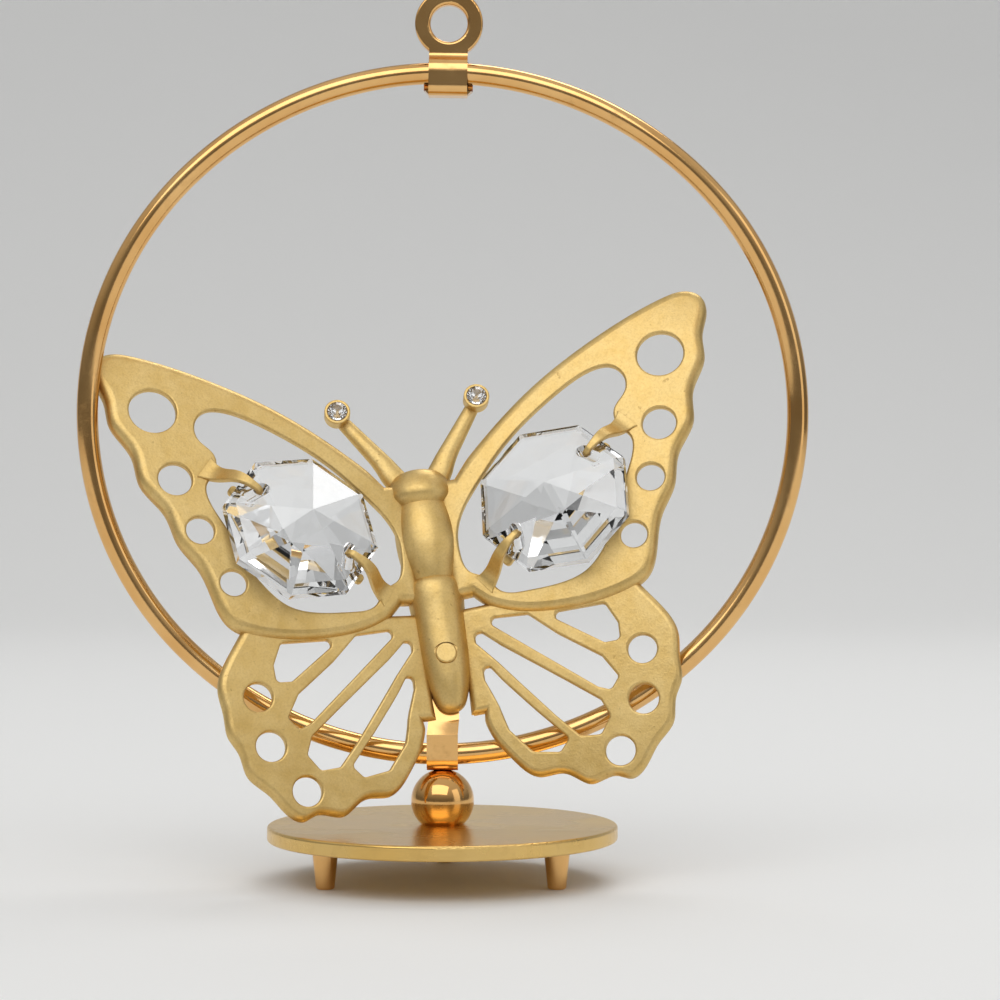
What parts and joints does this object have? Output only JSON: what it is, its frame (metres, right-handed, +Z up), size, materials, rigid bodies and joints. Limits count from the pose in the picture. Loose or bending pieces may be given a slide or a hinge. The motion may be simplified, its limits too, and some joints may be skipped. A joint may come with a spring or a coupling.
{
  "type": "butterfly ornament",
  "caption": "Free-standing ornament: a pierced butterfly with faceted crystals hung in its wings, set in an oval wire ring with a top eyelet, on a ball and a small round base.",
  "frame": {"origin": "on the surface that the feet stand on, under the middle of the base disc", "axes": "+Z up, +X to the viewer's right, +Y away from the viewer, so the butterfly faces -Y"},
  "size_m": [0.0684, 0.0326, 0.0831],
  "materials": {
    "satin_gold": "satin gilt",
    "polished_gold": "polished gilt",
    "steel": "plain",
    "crystal": "cut and polished"
  },
  "bodies": {
    "stand": {"base_disc": "satin_gold", "foot_left": "polished_gold", "foot_right": "polished_gold", "foot_back": "polished_gold", "ball": "polished_gold", "base_screw": "steel", "ring": "polished_gold", "hanger_clip": "polished_gold", "strap": "polished_gold", "body_rivet": "satin_gold", "butterfly": "satin_gold", "stone_left": "crystal", "stone_right": "crystal"},
    "left_crystal": {"crystal_left": "crystal"},
    "right_crystal": {"crystal_right": "crystal"}
  },
  "joints": [
    {"name": "left_crystal_rock", "type": "hinge", "parent": "stand", "child": "left_crystal", "pos_m": [-0.01324, -0.00061, 0.03285], "axis": [0.8196, 0.0413, -0.5715], "range_deg": [-4, 3.5]},
    {"name": "right_crystal_rock", "type": "hinge", "parent": "stand", "child": "right_crystal", "pos_m": [0.01047, 0.00238, 0.03567], "axis": [0.6498, 0.144, 0.7463], "range_deg": [-4, 3.5]}
  ]
}
